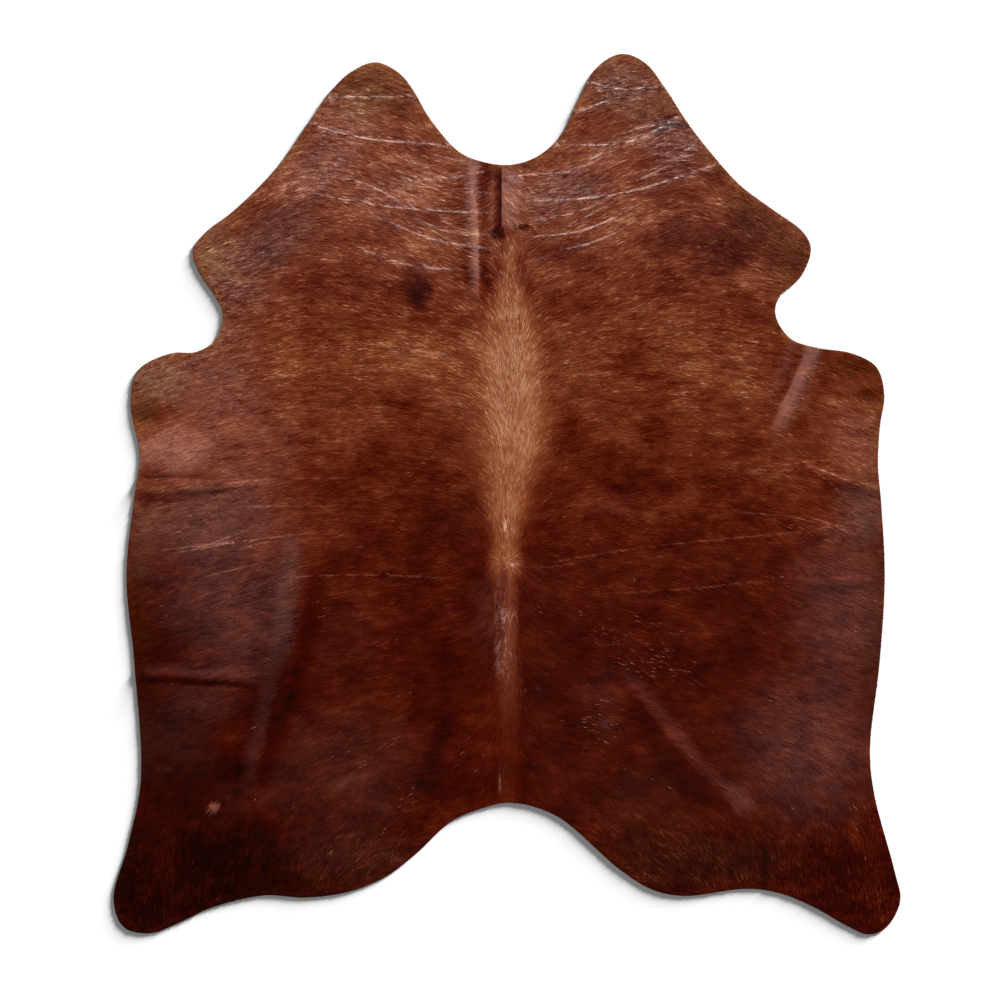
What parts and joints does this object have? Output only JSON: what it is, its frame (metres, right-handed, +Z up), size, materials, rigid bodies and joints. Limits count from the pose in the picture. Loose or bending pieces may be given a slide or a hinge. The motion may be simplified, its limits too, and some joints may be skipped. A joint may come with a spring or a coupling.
{
  "type": "cowhide rug",
  "caption": "Flat rug made of one whole hair-on cowhide with neck lobes, leg bulges, hind shanks, low skin folds and a plain cut edge.",
  "frame": {"origin": "on the floor, under the centre of the hide's bounding box", "axes": "+Z up from the floor, +Y from the tail towards the neck, +X across the back, to the right when seen from above with the neck away from the viewer"},
  "size_m": [1.878, 2.1, 0.013],
  "materials": {
    "coat": "short, glossy, lying chestnut hair, darker towards the rump and the edges, with a tan streak down the spine; pale suede on the flesh side"
  },
  "bodies": {
    "root": {"hide": "coat"}
  },
  "joints": []
}
